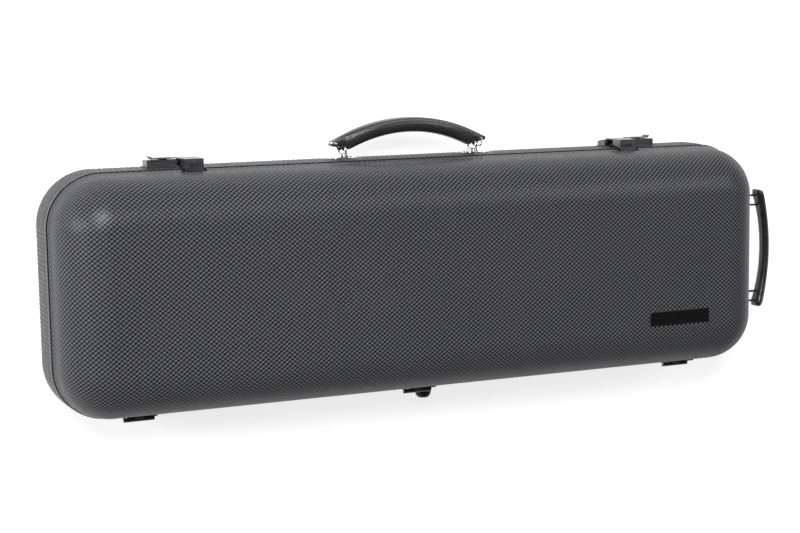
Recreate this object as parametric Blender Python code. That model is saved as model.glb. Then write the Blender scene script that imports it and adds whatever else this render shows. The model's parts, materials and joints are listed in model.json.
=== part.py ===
"""Oblong hard-shell violin case, lying on its back with the lid up.

Metres, +Z up. The pieces are drawn in the case's own axes, about the centre of the seam between lid
and body: x runs along the case, y goes through it from the lid (-y) to the back (+y), and z goes
across it from the hinges (-z) to the carrying handle (+z). The empty "case_frame" lays that drawing
down, so that -y points up, and sets it on the ground on the body's feet.
"""

import math

import bmesh
import bpy
from mathutils import Vector

MM = 0.001
GAP = 0.3 * MM

# Seam outline: a rounded rectangle in the XZ plane.
HALF_LENGTH = 400 * MM
HALF_HEIGHT = 122.5 * MM
CORNER = 54 * MM
CORNER_STEPS = 6

# Lid: a drafted side wall that turns into the flat front through one large fillet.
LID_DEPTH = 60.7 * MM
LID_FILLET = 49.2 * MM
LID_DRAFT = math.radians(6.95)
WALL = 3.7 * MM
FILLET_STEPS = 6

# Body: a side wall with a slight crest, then a fillet into the flat back.
BODY_DEPTH = 75 * MM
BODY_CREST = 2.4 * MM
BODY_CREST_Y = 38 * MM
BODY_FILLET = 37 * MM
BODY_SEAM_INSET = 3.9 * MM
SEAM_HALF_GAP = 0.8 * MM

# Fittings on the top wall stand on flats cut at this height.
TOP_FLAT = 124.0 * MM
PLATE_Z = TOP_FLAT + GAP
END_FLAT = 401.5 * MM

# Top handle.
HANDLE_Y = 34.4 * MM
RING_X = 76.3 * MM
RING_HALF_WIDTH = 10.1 * MM
RING_FOOT_Z = 127.0 * MM
RING_TOP_Z = 136.0 * MM
RING_WIRE = 1.3 * MM
BUSH_RADIUS = 2.6 * MM
HANDLE_PLATE_X = 78.3 * MM
HANDLE_PLATE_HALF = 16.3 * MM
HANDLE_TOP = 165.3 * MM
HANDLE_TOP_RADIUS = 182 * MM
HANDLE_UNDER = 149.4 * MM
HANDLE_UNDER_RADIUS = 154 * MM
HANDLE_TIP = 91 * MM
HANDLE_TIP_UNDER = 137.5 * MM
HANDLE_HALF_WIDTH = 13 * MM
HANDLE_END_HALF_WIDTH = 6.4 * MM
STRAP_RING_X = 84.5 * MM
STRAP_RING_Z = 140.0 * MM
STRAP_RING_REACH = 8.7 * MM
STRAP_RING_HALF_WIDTH = 9.4 * MM
STRAP_RING_WIRE = 1.0 * MM
STRAP_RING_LEAN = {"left": 172, "right": 256}

# End handle, on the right-hand end wall.
END_Y = 18 * MM
END_Z = -2.5 * MM
END_RING_Z = 56.8 * MM
END_RING_HALF_WIDTH = 5.6 * MM
END_RING_FOOT_X = 405.2 * MM
END_RING_TOP_X = 441.0 * MM
END_OUTER = 453.2 * MM
END_OUTER_RADIUS = 236 * MM
END_INNER = 445.7 * MM
END_INNER_RADIUS = 207 * MM
END_TIP = 69 * MM
END_HALF_WIDTH = 6.5 * MM
END_TIP_HALF_WIDTH = 9 * MM

# Latches, measured outwards from the middle of the case.
HASP_IN = 240.6 * MM
HASP_OUT = 260.4 * MM
LATCH_IN = 236.0 * MM
LATCH_OUT = 294.2 * MM
LATCH_FRONT = 14.2 * MM
LATCH_TOP = 132.0 * MM
HASP_PIN_Y = 27 * MM
HASP_PIN_Z = 129.2 * MM
HASP_PIN_RADIUS = 1.0 * MM
HASP_FRONT = -5.0 * MM
HASP_TOP = 133.4 * MM
HASP_SHEET = 1.2 * MM
HASP_LOW = 120.9 * MM
STRIKE_FLAT = 119.6 * MM

# Hinges along the bottom of the seam.
HINGE_X = {"left": -315.5 * MM, "centre": -8.6 * MM, "right": 315.5 * MM}
HINGE_Z = -126.3 * MM
HINGE_BARREL = 3.1 * MM
HINGE_HALF_LENGTH = 15.7 * MM
HINGE_PIN = 1.2 * MM

# The rubber bumper beside the middle hinge, and the feet on the back.
BUMPER = (4 * MM, 13 * MM)
BUMPER_END = -138.4 * MM
FOOT_PLACE = (310 * MM, 58 * MM)
FOOT_HEIGHT = 6 * MM
FOOT_RADIUS = 9 * MM

# Violin well, in the body lining. The instrument lies with its button end at the left.
WELL_END = -384 * MM
WELL_LENGTH = 366 * MM
LOWER_BOUT = (84 * MM, 107 * MM)
UPPER_BOUT = (72 * MM, 87 * MM)
WAIST_HALF = 61 * MM
WELL_FLOOR = 54 * MM
NECK_END = 216 * MM
NECK_HALF = 27 * MM
PEG_BOX_START = 122 * MM
PEG_BOX_HALF = 42 * MM
LINING_TOP = 1.2 * MM

# The strap over the neck turns about its sewn edge.
NECK_STRAP_EDGE = (76 * MM, -0.3 * MM, -33 * MM)
NECK_STRAP_HALF = 12 * MM

# Accessory compartments beside the neck and past the scroll. The lower one has a lid on a rod, whose
# place is given as (y, z).
SIDE_BOX = (34 * MM, 206 * MM)
SIDE_BOX_Z = (50 * MM, 92 * MM)
SIDE_BOX_FLOOR = 52 * MM
END_BOX = (236 * MM, 382 * MM)
END_BOX_HALF = 98 * MM
ACCESSORY_ROD = (-1.3 * MM, -44.5 * MM)
ROD_RADIUS = 0.7 * MM

# Bow holders in the lid.
BOW_Z = 34 * MM
SPINNER_X = 300 * MM
TIP_POCKET_X = -318 * MM

NAMEPLATE_CENTRE = (284 * MM, -61.8 * MM)
NAMEPLATE_HALF = (37.7 * MM, 7.7 * MM)

# Where the seam's centre lies once the case is down, so that the whole case is centred on the ground.
FRAME_PLACE = (
    (HALF_LENGTH + BODY_CREST - END_OUTER) / 2,
    -(HANDLE_TOP + BUMPER_END) / 2,
    BODY_DEPTH + FOOT_HEIGHT,
)

SIDES = {"left": -1, "right": 1}
HEIGHTS = {"upper": 1, "lower": -1}


# --- Scene and material helpers ---------------------------------------------------------------

def clear_scene():
    for obj in list(bpy.data.objects):
        bpy.data.objects.remove(obj, do_unlink=True)


def material(name, colour, roughness, metallic=0.0):
    """The named Principled material, made once."""
    found = bpy.data.materials.get(name)
    if found:
        return found
    made = bpy.data.materials.new(name)
    made.use_nodes = True
    shader = made.node_tree.nodes["Principled BSDF"]
    shader.inputs["Base Color"].default_value = (*colour, 1)
    shader.inputs["Roughness"].default_value = roughness
    shader.inputs["Metallic"].default_value = metallic
    return made


def shell_plastic():
    return material("embossed_charcoal_shell", (0.055, 0.056, 0.058), 0.45)


def seal_rubber():
    return material("black_rubber", (0.012, 0.012, 0.012), 0.75)


def plush():
    return material("dark_plush_lining", (0.02, 0.022, 0.028), 0.95)


def webbing():
    return material("black_webbing", (0.02, 0.02, 0.02), 0.9)


def leather():
    return material("black_leather", (0.012, 0.012, 0.013), 0.5)


def chrome():
    return material("polished_chrome", (0.75, 0.75, 0.76), 0.12, 1)


def gunmetal():
    return material("gunmetal_plate", (0.16, 0.16, 0.17), 0.32, 1)


def black_steel():
    return material("black_steel", (0.03, 0.03, 0.032), 0.38, 1)


# --- Mesh helpers -----------------------------------------------------------------------------

def make_object(bm, name, finish, origin=(0, 0, 0)):
    """An object from bm, with its origin at origin, measured from the seam centre."""
    bmesh.ops.recalc_face_normals(bm, faces=bm.faces)
    if bm.calc_volume(signed=True) < 0:
        bmesh.ops.reverse_faces(bm, faces=bm.faces)
    origin = Vector(origin)
    bmesh.ops.translate(bm, verts=bm.verts, vec=-origin)
    mesh = bpy.data.meshes.new(name)
    bm.to_mesh(mesh)
    bm.free()
    mesh.shade_smooth()
    mesh.set_sharp_from_angle(angle=math.radians(30))
    obj = bpy.data.objects.new(name, mesh)
    bpy.context.scene.collection.objects.link(obj)
    obj.parent = bpy.data.objects["case_frame"]
    obj.location = origin
    mesh.materials.append(finish)
    return obj


def loft(rings, closed=False):
    """A bmesh through rings of points. Its ends are capped, or it is a hoop if closed."""
    bm = bmesh.new()
    verts = [[bm.verts.new(point) for point in ring] for ring in rings]
    count = len(rings[0])
    pairs = list(zip(verts, verts[1:]))
    if closed:
        pairs.append((verts[-1], verts[0]))
    for first, second in pairs:
        for i in range(count):
            j = (i + 1) % count
            bm.faces.new((first[i], first[j], second[j], second[i]))
    if not closed:
        bm.faces.new(verts[0])
        bm.faces.new(verts[-1])
    return bm


def prism(points, axis, low, high):
    """A bmesh of a flat outline, extruded along an axis from low to high."""
    place = {
        "x": lambda a, b, t: (t, a, b),
        "y": lambda a, b, t: (a, t, b),
        "z": lambda a, b, t: (a, b, t),
    }[axis]
    return loft([[place(a, b, t) for a, b in points] for t in (low, high)])


def box(x, y, z):
    """A bmesh box from its (low, high) along each axis."""
    corners = [(x[0], y[0]), (x[1], y[0]), (x[1], y[1]), (x[0], y[1])]
    return prism(corners, "z", *z)


def disc(centre, radius, steps, start=0.0):
    """Points round a circle in a plane."""
    angles = [start + 2 * math.pi * i / steps for i in range(steps)]
    return [(centre[0] + radius * math.cos(a), centre[1] + radius * math.sin(a)) for a in angles]


def rounded(half_a, half_b, radius, steps, centre=(0, 0)):
    """Points round a rounded rectangle, the same number at every size."""
    points = []
    corners = ((1, 1, 0), (-1, 1, 90), (-1, -1, 180), (1, -1, 270))
    for sign_a, sign_b, start in corners:
        for i in range(steps + 1):
            angle = math.radians(start + 90 * i / steps)
            a = sign_a * (half_a - radius) + radius * math.cos(angle)
            b = sign_b * (half_b - radius) + radius * math.sin(angle)
            points.append((centre[0] + a, centre[1] + b))
    return points


def wire_loop(centreline, radius, sides=8):
    """A round wire bent along a closed flat line of points."""
    count = len(centreline)
    points = [Vector(p) for p in centreline]
    middle = sum(points, Vector()) / count
    normal = (points[0] - middle).cross(points[count // 4] - middle).normalized()
    rings = []
    for i, point in enumerate(points):
        along = (points[(i + 1) % count] - points[i - 1]).normalized()
        across = along.cross(normal)
        ring = []
        for k in range(sides):
            angle = 2 * math.pi * (k + 0.5) / sides
            ring.append(point + radius * (math.cos(angle) * across + math.sin(angle) * normal))
        rings.append(ring)
    return loft(rings, closed=True)


def combine(obj, bm, operation):
    """Adds to obj, or takes from it, the solid in bm, which becomes a hidden helper."""
    helper = make_object(bm, "helper", obj.data.materials[0], obj.location)
    helper.hide_render = True
    helper.display_type = "WIRE"
    step = obj.modifiers.new(operation.lower(), "BOOLEAN")
    step.operation = operation
    step.solver = "EXACT"
    step.object = helper


def cut(obj, bm):
    combine(obj, bm, "DIFFERENCE")


def add(obj, bm):
    combine(obj, bm, "UNION")


# --- Shells, frames and seal ------------------------------------------------------------------

def outline(y, offset):
    """The seam outline, moved outwards by offset, at depth y."""
    points = rounded(HALF_LENGTH + offset, HALF_HEIGHT + offset, CORNER + offset, CORNER_STEPS)
    return [(x, y, z) for x, z in points]


def rings_of(profile):
    return [outline(y, offset) for y, offset in profile]


def hoop(profile, name, finish):
    return make_object(loft(rings_of(profile), closed=True), name, finish)


def lid_profile(inset, edge):
    """(y, offset) points from the seam edge to the front, inset from the outer surface."""
    centre_y = -(LID_DEPTH - LID_FILLET)
    tangent_y = centre_y - LID_FILLET * math.sin(LID_DRAFT)
    centre = tangent_y * math.tan(LID_DRAFT) - LID_FILLET * math.cos(LID_DRAFT)
    radius = LID_FILLET - inset
    points = [(edge, edge * math.tan(LID_DRAFT) - inset / math.cos(LID_DRAFT))]
    for i in range(FILLET_STEPS + 1):
        angle = LID_DRAFT + (math.pi / 2 - LID_DRAFT) * i / FILLET_STEPS
        points.append((centre_y - radius * math.sin(angle), centre + radius * math.cos(angle)))
    return points


def body_outer_profile():
    """(y, offset) points from the seam edge over the crest to the back."""
    points = [(SEAM_HALF_GAP, 0.0), (4 * MM, 0.8 * MM), (12 * MM, 1.6 * MM), (24 * MM, 2.2 * MM)]
    for i in range(FILLET_STEPS + 1):
        angle = math.pi / 2 * i / FILLET_STEPS
        rise = BODY_FILLET * (1 - math.cos(angle))
        points.append((BODY_CREST_Y + BODY_FILLET * math.sin(angle), BODY_CREST - rise))
    return points


def body_inner_profile(inset):
    """(y, offset) points inside the wall, from the crest to the back."""
    end = BODY_CREST - BODY_FILLET
    reach = -end - BODY_SEAM_INSET - inset
    depth = BODY_FILLET - WALL - inset
    points = []
    for i in range(FILLET_STEPS + 1):
        angle = math.pi / 2 * i / FILLET_STEPS
        points.append((BODY_CREST_Y + depth * math.sin(angle), end + reach * math.cos(angle)))
    return points


def make_lid_shell():
    outer = lid_profile(0, -SEAM_HALF_GAP)
    inner = lid_profile(WALL, -SEAM_HALF_GAP)
    shell = make_object(loft(rings_of(outer[::-1] + inner)), "lid_shell", shell_plastic())
    for side in SIDES.values():
        x = sorted((side * (HASP_IN - 2.4 * MM), side * (HASP_OUT + 2.4 * MM)))
        cut(shell, box(x, (-9.5 * MM, 1 * MM), (STRIKE_FLAT, 130 * MM)))
    return shell


def make_body_shell():
    outer = body_outer_profile()
    inner = [(SEAM_HALF_GAP, -BODY_SEAM_INSET)] + body_inner_profile(0)
    shell = make_object(loft(rings_of(outer[::-1] + inner)), "body_shell", shell_plastic())
    high = 130 * MM
    for side in SIDES.values():
        latch = sorted((side * (LATCH_IN - 1 * MM), side * (LATCH_OUT + 1 * MM)))
        cut(shell, box(latch, (11 * MM, 42 * MM), (TOP_FLAT, high)))
        reach = HANDLE_PLATE_HALF + 2 * MM
        handle = sorted((side * (HANDLE_PLATE_X - reach), side * (HANDLE_PLATE_X + reach)))
        cut(shell, box(handle, (19 * MM, 49 * MM), (TOP_FLAT, high)))
        z = sorted((END_Z + side * (END_RING_Z - 15 * MM), END_Z + side * (END_RING_Z + 15 * MM)))
        cut(shell, box((END_FLAT, 410 * MM), (6 * MM, 30 * MM), z))
    for x in HINGE_X.values():
        leaf = (x - HINGE_HALF_LENGTH - 1 * MM, x + HINGE_HALF_LENGTH + 1 * MM)
        cut(shell, box(leaf, (3.4 * MM, 22 * MM), (-high, -123.2 * MM)))
    return shell


def make_frames_and_seal():
    steel = material("valance_aluminium", (0.35, 0.35, 0.36), 0.4, 1)
    tongue = [(-3.0, -4.2), (8.0, -4.2), (8.0, -6.0), (-3.0, -6.0)]
    groove = [(-3.5, -5.3), (-9.5, -5.3), (-9.5, -7.3), (-3.5, -7.3)]
    seal = [(-0.5, -0.4), (0.5, -0.4), (0.5, -3.7), (-0.5, -3.7)]
    for name, section, finish in (
        ("body_frame", tongue, steel),
        ("lid_frame", groove, steel),
        ("seam_gasket", seal, seal_rubber()),
    ):
        hoop([(y * MM, offset * MM) for y, offset in section], name, finish)


def make_nameplate():
    plate = rounded(*NAMEPLATE_HALF, 1.6 * MM, 3, NAMEPLATE_CENTRE)
    low = -LID_DEPTH - 1.0 * MM
    finish = material("nameplate_black", (0.012, 0.012, 0.013), 0.3)
    make_object(prism(plate, "y", low, -LID_DEPTH - 0.1 * MM), "nameplate", finish)


# --- Linings ----------------------------------------------------------------------------------

def bout(half_length, half_width, centre_x):
    """One bout of the violin outline, a squarish ellipse."""
    power = 2 / 2.4
    points = []
    for i in range(28):
        angle = 2 * math.pi * i / 28
        c, s = math.cos(angle), math.sin(angle)
        x = math.copysign(abs(c) ** power, c) * half_length
        z = math.copysign(abs(s) ** power, s) * half_width
        points.append((centre_x + x, z))
    return points


def well_shapes():
    """The outlines whose union is the violin's well, each with its floor."""
    lower_x = WELL_END + LOWER_BOUT[0]
    upper_x = WELL_END + WELL_LENGTH - UPPER_BOUT[0]
    middle = (lower_x + upper_x) / 2
    neck_middle = (upper_x + NECK_END) / 2
    peg_middle = (PEG_BOX_START + NECK_END) / 2
    return (
        (bout(*LOWER_BOUT, lower_x), WELL_FLOOR),
        (bout(*UPPER_BOUT, upper_x), WELL_FLOOR - 0.1 * MM),
        (rounded((upper_x - lower_x) / 2, WAIST_HALF, 20 * MM, 4, (middle, 0)), WELL_FLOOR - 0.2 * MM),
        (rounded((NECK_END - upper_x) / 2, NECK_HALF, 8 * MM, 3, (neck_middle, 0)), 44 * MM),
        (rounded((NECK_END - PEG_BOX_START) / 2, PEG_BOX_HALF, 14 * MM, 3, (peg_middle, 0)), 52 * MM),
    )


def make_body_lining():
    top = [(LINING_TOP, -6.4 * MM), (8.6 * MM, -6.4 * MM), (8.6 * MM, -4.4 * MM)]
    profile = top + body_inner_profile(0.4 * MM)
    lining = make_object(loft(rings_of(profile)), "body_lining", plush())
    above = -5 * MM
    for points, floor in well_shapes():
        cut(lining, prism(points, "y", above, floor))
    side_middle = sum(SIDE_BOX) / 2
    box_half = (SIDE_BOX_Z[1] - SIDE_BOX_Z[0]) / 2
    for side in SIDES.values():
        centre = (side_middle, side * sum(SIDE_BOX_Z) / 2)
        pocket = rounded((SIDE_BOX[1] - SIDE_BOX[0]) / 2, box_half, 8 * MM, 3, centre)
        cut(lining, prism(pocket, "y", above, SIDE_BOX_FLOOR))
    end = rounded((END_BOX[1] - END_BOX[0]) / 2, END_BOX_HALF, 30 * MM, 4, (sum(END_BOX) / 2, 0))
    cut(lining, prism(end, "y", above, SIDE_BOX_FLOOR))
    add_rod_lugs(lining, side_middle, (SIDE_BOX[1] - SIDE_BOX[0]) / 2 + 8 * MM)


def add_rod_lugs(lining, middle, reach):
    """Two lugs on the lining's top, which hold the ends of the accessory lid's rod."""
    rod_y, rod_z = ACCESSORY_ROD
    for side in SIDES.values():
        x = (middle + side * reach - 2.4 * MM, middle + side * reach + 2.4 * MM)
        add(lining, box(x, (rod_y - 2 * MM, 3 * MM), (rod_z - 2.5 * MM, rod_z + 2.5 * MM)))
    bore = disc(ACCESSORY_ROD, ROD_RADIUS + GAP, 8)
    cut(lining, prism(bore, "x", middle - reach - 3 * MM, middle + reach + 3 * MM))


def make_lid_lining():
    inset = WALL + 0.4 * MM
    edge = -10 * MM
    profile = lid_profile(inset, edge)[::-1] + lid_profile(inset + 3 * MM, edge)
    make_object(loft(rings_of(profile)), "lid_lining", plush())


def make_suspension_pads():
    """Blocks on the well's floor that carry the instrument by its two end blocks."""
    places = {
        "suspension_pad_lower": (WELL_END + 34 * MM, 24 * MM, 46 * MM),
        "suspension_pad_upper": (WELL_END + WELL_LENGTH - 30 * MM, 20 * MM, 40 * MM),
    }
    for name, (x, half_x, half_z) in places.items():
        pad = prism(rounded(half_x, half_z, 10 * MM, 3, (x, 0)), "y", 47 * MM, WELL_FLOOR - 0.5 * MM)
        make_object(pad, name, plush())


def make_neck_cradle():
    """A padded block across the neck channel, with a rounded saddle for the neck."""
    half = NECK_HALF - 0.4 * MM
    saddle = []
    for i in range(9):
        angle = math.pi + math.pi * i / 8
        saddle.append((20 * MM - 14 * MM * math.sin(angle) - 6 * MM, 15 * MM * math.cos(angle)))
    points = [(6 * MM, -half), (43.6 * MM, -half), (43.6 * MM, half), (6 * MM, half)]
    points += [(6 * MM, 15 * MM)] + [(y - 8 * MM, -z) for y, z in saddle] + [(6 * MM, -15 * MM)]
    cradle = prism(points, "x", 60 * MM, 92 * MM)
    make_object(cradle, "neck_cradle", plush())


def make_neck_strap():
    """The strap over the neck, sewn down at its lower end and turning about that edge."""
    section = [(0.6, -34.0), (0.6, -24.0), (-2.6, -20.0), (-2.6, 20.0), (0.6, 24.0), (0.6, 34.0)]
    back = [(y - 1.8, z) for y, z in section[::-1]]
    points = [(y * MM, z * MM) for y, z in section + back]
    middle = NECK_STRAP_EDGE[0]
    strap = prism(points, "x", middle - NECK_STRAP_HALF, middle + NECK_STRAP_HALF)
    make_object(strap, "neck_strap", webbing(), NECK_STRAP_EDGE)


def make_accessory_lid():
    """The stiff lid of the lower side compartment, hung on a rod beside the neck."""
    half = (SIDE_BOX[1] - SIDE_BOX[0]) / 2 + 5 * MM
    middle = sum(SIDE_BOX) / 2
    low, high = -SIDE_BOX_Z[1] - 3 * MM, ACCESSORY_ROD[1] + 1.0 * MM
    points = rounded(half, (high - low) / 2, 1.4 * MM, 2, (middle, (low + high) / 2))
    pivot = (middle, *ACCESSORY_ROD)
    lid = make_object(prism(points, "y", -1.9 * MM, 0.9 * MM), "accessory_lid", plush(), pivot)
    add(lid, prism(disc(ACCESSORY_ROD, 2.2 * MM, 12), "x", middle - half, middle + half))
    bore = disc(ACCESSORY_ROD, ROD_RADIUS + 0.4 * MM, 12)
    cut(lid, prism(bore, "x", middle - half - MM, middle + half + MM))
    rod = disc(ACCESSORY_ROD, ROD_RADIUS, 8)
    reach = half + 5 * MM
    make_object(prism(rod, "x", middle - reach, middle + reach), "accessory_lid_rod", black_steel())
    tab = rounded(8 * MM, 5 * MM, 4 * MM, 4, (middle, low + 3 * MM))
    make_object(prism(tab, "y", -3.2 * MM, -2.2 * MM), "accessory_lid_tab", webbing(), pivot)


def make_bow_holders():
    """Two bow holders in the lid: a turning toggle at the frog end and a pocket at the tip end."""
    back = -LID_DEPTH + WALL + 3.4 * MM + GAP
    for name, side in HEIGHTS.items():
        z = side * BOW_Z
        top = back + 12 * MM
        block = rounded(11 * MM, 9 * MM, 4 * MM, 3, (SPINNER_X, z))
        make_object(prism(block, "y", back, top), f"bow_block_{name}", plush())
        front = top + GAP
        wing = rounded(6 * MM, 19 * MM, 5.9 * MM, 4, (SPINNER_X, z))
        pivot = (SPINNER_X, front, z)
        make_object(prism(wing, "y", front, front + 5 * MM), f"bow_spinner_{name}", plush(), pivot)
        outside = prism(rounded(26 * MM, 13 * MM, 3 * MM, 2, (TIP_POCKET_X, z)), "y", back, top + 2 * MM)
        pocket = make_object(outside, f"bow_tip_pocket_{name}", plush())
        x = (TIP_POCKET_X - 23 * MM, TIP_POCKET_X + 30 * MM)
        cut(pocket, box(x, (back + 2 * MM, top), (z - 10 * MM, z + 10 * MM)))


# --- Latches ----------------------------------------------------------------------------------

def outward(side, low, high):
    """The (low, high) X of a stretch measured outwards on one side."""
    return sorted((side * low, side * high))


def make_latch_base(name, side):
    depth = (LATCH_FRONT - 1 * MM, 40.5 * MM)
    plate = box(outward(side, LATCH_IN, LATCH_OUT), depth, (PLATE_Z, PLATE_Z + 1.2 * MM))
    base = make_object(plate, f"latch_base_{name}", gunmetal())
    middle = PLATE_Z + 0.6 * MM
    ear = [(21.5, 0.6), (21.5, 5.0), (24.0, 7.7), (31.0, 7.7), (38.0, 5.5), (38.0, 0.6)]
    points = [(y * MM, PLATE_Z + z * MM) for y, z in ear]
    add(base, prism(points, "x", *outward(side, LATCH_IN, HASP_IN - 0.4 * MM)))
    add(base, prism(points, "x", *outward(side, HASP_OUT + 0.4 * MM, 265 * MM)))
    rear = outward(side, HASP_IN - 1 * MM, HASP_OUT + 1 * MM)
    add(base, box(rear, (33 * MM, 38 * MM), (middle, PLATE_Z + 5 * MM)))
    housing = outward(side, 264.4 * MM, LATCH_OUT)
    add(base, box(housing, (LATCH_FRONT, 31.2 * MM), (middle, LATCH_TOP)))
    add_catch_bar(base, side * (HASP_IN + HASP_OUT) / 2)
    slot = outward(side, 270.5 * MM, 287.5 * MM)
    cut(base, box(slot, (19.6 * MM, 25.6 * MM), (127.5 * MM, 134 * MM)))
    bore = disc((HASP_PIN_Y, HASP_PIN_Z), HASP_PIN_RADIUS + GAP, 12)
    cut(base, prism(bore, "x", *outward(side, LATCH_IN + 1.5 * MM, 264.2 * MM)))


def add_catch_bar(base, x):
    """The bar that shows through the hasp's window, on a narrow tongue from the base plate."""
    stem = (x - 1.2 * MM, x + 1.2 * MM)
    add(base, box(stem, (-3.0 * MM, 14 * MM), (PLATE_Z + 0.2 * MM, PLATE_Z + 1.1 * MM)))
    add(base, box(stem, (-3.2 * MM, -1.6 * MM), (PLATE_Z + 0.1 * MM, 128.5 * MM)))
    head = (x - 3.4 * MM, x + 3.4 * MM)
    add(base, box(head, (-3.3 * MM, -1.5 * MM), (128.0 * MM, 129.7 * MM)))


def make_latch_pin(name, side):
    shaft = disc((HASP_PIN_Y, HASP_PIN_Z), HASP_PIN_RADIUS, 12)
    pin = prism(shaft, "x", *outward(side, LATCH_IN + 1.9 * MM, 263.8 * MM))
    make_object(pin, f"latch_pin_{name}", black_steel())


def make_hasp(name, side):
    """The sprung cover: top sheet, knuckle, side cheeks and the folded front with its window."""
    span = outward(side, HASP_IN, HASP_OUT)
    middle = side * (HASP_IN + HASP_OUT) / 2
    under = HASP_TOP - HASP_SHEET
    origin = (middle, HASP_PIN_Y, HASP_PIN_Z)
    sheet = box(span, (HASP_FRONT, HASP_PIN_Y + 1.6 * MM), (under, HASP_TOP))
    hasp = make_object(sheet, f"latch_hasp_{name}", gunmetal(), origin)
    front = (HASP_FRONT, HASP_FRONT + HASP_SHEET)
    add(hasp, box(span, front, (HASP_LOW, under + 0.5 * MM)))
    cheek = [(-4.6, 121.4), (-4.6, 132.9), (12.0, 132.9), (12.0, 126.8), (1.0, 124.6), (-2.6, 121.4)]
    points = [(y * MM, z * MM) for y, z in cheek]
    for low in (HASP_IN, HASP_OUT - HASP_SHEET):
        add(hasp, prism(points, "x", *outward(side, low, low + HASP_SHEET)))
    knuckle = outward(side, HASP_IN + 0.2 * MM, HASP_OUT - 0.2 * MM)
    add(hasp, box(knuckle, (25.6 * MM, 28.4 * MM), (HASP_PIN_Z, under + 0.5 * MM)))
    add(hasp, prism(disc((HASP_PIN_Y, HASP_PIN_Z), 2.4 * MM, 16), "x", *knuckle))
    bore = disc((HASP_PIN_Y, HASP_PIN_Z), HASP_PIN_RADIUS + GAP, 12)
    cut(hasp, prism(bore, "x", *outward(side, HASP_IN - MM, HASP_OUT + MM)))
    window = (middle - 4.1 * MM, middle + 4.1 * MM)
    cut(hasp, box(window, (HASP_FRONT - MM, HASP_FRONT + 2 * MM), (124.9 * MM, 129.9 * MM)))


def make_slide(name, side):
    """The thumb slide: a plate on feet, a lip at its outer end and a stem down into the housing."""
    z = LATCH_TOP + 1.1 * MM
    top = z + 1.0 * MM
    origin = (side * 279 * MM, 22.6 * MM, z)
    plate = box(outward(side, 266.4 * MM, 289.5 * MM), (16.2 * MM, 29 * MM), (z, top))
    slide = make_object(plate, f"latch_slide_{name}", gunmetal(), origin)
    lip = [(0.0, 0.4), (0.0, 1.0), (1.2, 2.6), (3.0, 2.9), (3.0, 1.9), (2.0, 1.5), (1.2, 0.0)]
    points = [(side * (288.2 + out) * MM, z + up * MM) for out, up in lip]
    add(slide, prism(points, "y", 17 * MM, 28.2 * MM))
    stem = outward(side, 272 * MM, 280 * MM)
    add(slide, box(stem, (20 * MM, 25.2 * MM), (128 * MM, z + 0.5 * MM)))
    tongue = outward(side, 261.6 * MM, 267 * MM)
    add(slide, box(tongue, (19.6 * MM, 25.6 * MM), (z + 0.1 * MM, top - 0.1 * MM)))


def make_strike(name, side):
    """The lid's wear plate, sunk in its flat under the hasp's front edge."""
    middle = side * (HASP_IN + HASP_OUT) / 2
    outline_points = rounded(10.5 * MM, 3.7 * MM, 1.5 * MM, 3, (middle, -5.0 * MM))
    plate = prism(outline_points, "z", STRIKE_FLAT + GAP, STRIKE_FLAT + GAP + 0.7 * MM)
    make_object(plate, f"strike_plate_{name}", black_steel())


# --- Hinges and feet --------------------------------------------------------------------------

def make_hinge(name, x):
    """Two leaves and a pin. The body's leaf has the two outer knuckles, the lid's the middle one."""
    end = HINGE_HALF_LENGTH
    split = 5.4 * MM
    axis = (0.0, HINGE_Z)
    barrel = disc(axis, HINGE_BARREL, 16)
    leaf = [(-0.4, -126.0), (1.8, -123.5), (21.0, -123.5), (21.0, -124.7), (4.4, -124.7), (2.6, -127.0)]
    leaf_points = [(y * MM, z * MM) for y, z in leaf]
    flat = box((x - end, x + end), (4.6 * MM, 21 * MM), (-124.7 * MM, -123.5 * MM))
    body = make_object(flat, f"hinge_leaf_body_{name}", black_steel())
    for low, high in ((x - end, x - split - 0.2 * MM), (x + split + 0.2 * MM, x + end)):
        add(body, prism(leaf_points, "x", low, high))
        add(body, prism(barrel, "x", low, high))
    plate = [(-4.6, -122.52), (-15.0, -121.1), (-15.0, -122.3), (-4.6, -123.72)]
    lid_leaf = [(0.4, -126.0), (-1.8, -122.9), *plate[1:3], (-4.4, -123.9), (-2.6, -127.0)]
    plate_points = [(y * MM, z * MM) for y, z in plate]
    lid_points = [(y * MM, z * MM) for y, z in lid_leaf]
    flat = prism(plate_points, "x", x - end, x + end)
    lid = make_object(flat, f"hinge_leaf_lid_{name}", black_steel(), (x, *axis))
    add(lid, prism(lid_points, "x", x - split + 0.2 * MM, x + split - 0.2 * MM))
    add(lid, prism(barrel, "x", x - split + 0.2 * MM, x + split - 0.2 * MM))
    bore = disc(axis, HINGE_PIN + GAP, 12)
    for piece in (body, lid):
        cut(piece, prism(bore, "x", x - end - MM, x + end + MM))
    pin = prism(disc(axis, HINGE_PIN, 12), "x", x - end - 0.6 * MM, x + end + 0.6 * MM)
    make_object(pin, f"hinge_pin_{name}", chrome())


def turned(profile, centre, axis, steps=16):
    """A bmesh turned about a line along axis, from (distance along it, radius) points."""
    place = {"y": lambda a, b, t: (a, t, b), "z": lambda a, b, t: (a, b, t)}[axis]
    rings = []
    for along, radius in profile:
        rings.append([place(a, b, along) for a, b in disc(centre, radius, steps)])
    return loft(rings)


def make_bumper():
    """The turned rubber bumper on the middle hinge's leaf."""
    top = -125.0 * MM
    end = BUMPER_END
    profile = [
        (top, 8.6 * MM),
        (top - 3.2 * MM, 9.0 * MM),
        (end + 4.5 * MM, 8.0 * MM),
        (end + 1.5 * MM, 6.4 * MM),
        (end, 5.0 * MM),
    ]
    make_object(turned(profile, BUMPER, "z"), "hinge_side_bumper", seal_rubber())


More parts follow.
